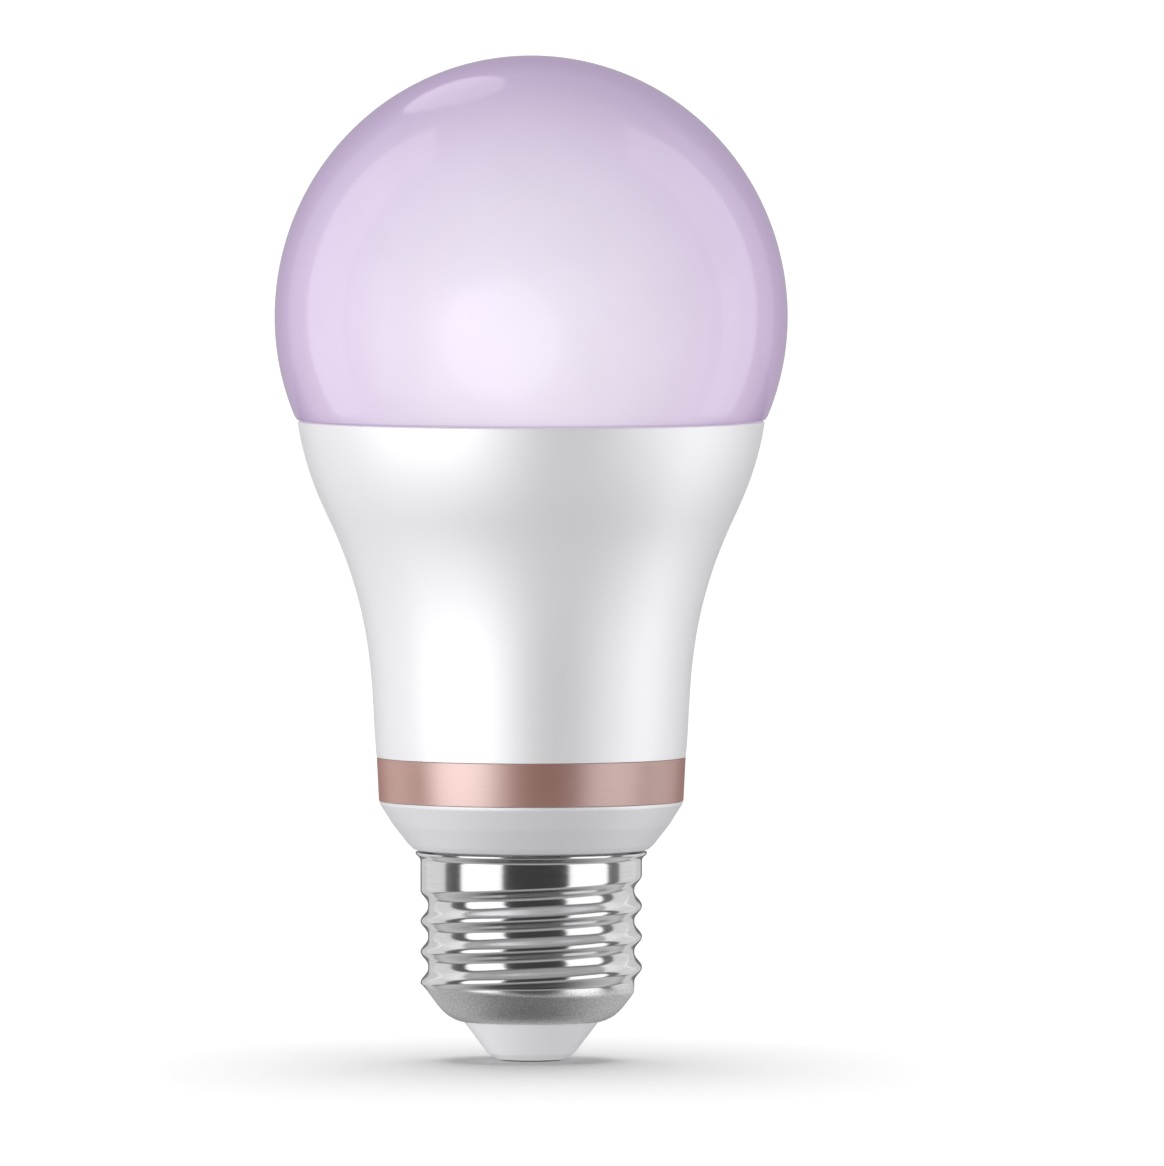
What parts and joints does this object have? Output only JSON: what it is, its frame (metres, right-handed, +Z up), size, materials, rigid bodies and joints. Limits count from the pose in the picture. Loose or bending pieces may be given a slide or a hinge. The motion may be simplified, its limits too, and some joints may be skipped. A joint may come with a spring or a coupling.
{
  "type": "smart light bulb",
  "caption": "Connected LED light bulb: opal dome, flared white housing with a satin metal trim band, and a screw cap that powers it.",
  "frame": {"origin": "centre of the flat tip of the centre contact, on the bulb's axis", "axes": "+Z runs up the bulb's axis from the contact to the top of the dome; -Y is the side seen in front; +X is to the right of that view"},
  "size_m": [0.0604, 0.0604, 0.1185],
  "materials": {
    "opal_dome": "glossy opal polycarbonate, lit from inside with a soft lilac glow",
    "white_housing": "smooth white moulded plastic, semi-gloss",
    "rose_gold_trim": "satin rose-gold foil band",
    "nickel_plate": "bright nickel-plated rolled sheet, with a matt taper at its lower end",
    "cap_insulator": "white moulded insulator, semi-gloss",
    "contact_brass": "brass rivet, dulled by use",
    "red_insulation": "PVC wire insulation",
    "white_insulation": "PVC wire insulation",
    "silicone": "cured silicone bead",
    "aluminium": "drawn aluminium, satin",
    "thermal_pad": "soft filled silicone sheet",
    "white_mask": "white solder mask over an aluminium-cored board",
    "green_board": "green solder mask over a glass-fibre board",
    "blue_board": "dark blue solder mask",
    "black_plastic": "black moulded connector plastic",
    "capacitor_sleeve": "shrunk black sleeve over an aluminium can",
    "yellow_film": "yellow potted case",
    "ferrite": "dark grey sintered ferrite",
    "blue_epoxy": "dipped epoxy coating",
    "grey_ceramic": "flameproof resistor coating",
    "copper_winding": "enamelled copper wire under clear tape",
    "chip_epoxy": "moulded chip package with tinned leads",
    "tinned_steel": "tin-plated pressed can",
    "copper_track": "copper track under lacquer",
    "warm_phosphor": "warm white phosphor window in a white package",
    "cool_phosphor": "cool white phosphor window in a white package",
    "led_package": "white package with a clear window over three dies",
    "steel_screw": "zinc-plated pan-head screw"
  },
  "bodies": {
    "root": {"screw_shell": "nickel_plate", "base_insulator": "cap_insulator", "centre_contact": "contact_brass", "live_wire": "red_insulation", "neutral_wire": "white_insulation", "housing": "white_housing", "trim_band": "rose_gold_trim", "diffuser_dome": "opal_dome", "dome_adhesive": "silicone", "heat_sink": "aluminium", "thermal_pad": "thermal_pad", "led_board": "white_mask", "driver_board": "green_board", "pin_header": "black_plastic", "board_socket": "black_plastic", "bulk_capacitor": "capacitor_sleeve", "output_capacitor": "capacitor_sleeve", "film_capacitor": "yellow_film", "filter_inductor": "ferrite", "varistor": "blue_epoxy", "fusible_resistor": "grey_ceramic", "transformer_core": "ferrite", "transformer_bobbin": "black_plastic", "transformer_winding": "copper_winding", "bridge_rectifier": "chip_epoxy", "driver_ic": "chip_epoxy", "switching_transistor": "chip_epoxy", "module_board": "blue_board", "module_shield": "tinned_steel", "module_antenna": "copper_track", "module_header": "black_plastic", "warm_led_1": "warm_phosphor", "cool_led_1": "cool_phosphor", "rgb_led_1": "led_package", "warm_led_2": "warm_phosphor", "cool_led_2": "cool_phosphor", "rgb_led_2": "led_package", "warm_led_3": "warm_phosphor", "cool_led_3": "cool_phosphor", "rgb_led_3": "led_package", "warm_led_4": "warm_phosphor", "cool_led_4": "cool_phosphor", "rgb_led_4": "led_package", "warm_led_5": "warm_phosphor", "cool_led_5": "cool_phosphor", "rgb_led_5": "led_package", "warm_led_6": "warm_phosphor", "cool_led_6": "cool_phosphor", "rgb_led_6": "led_package", "board_screw_1": "steel_screw", "board_screw_2": "steel_screw", "board_screw_3": "steel_screw"}
  },
  "joints": []
}
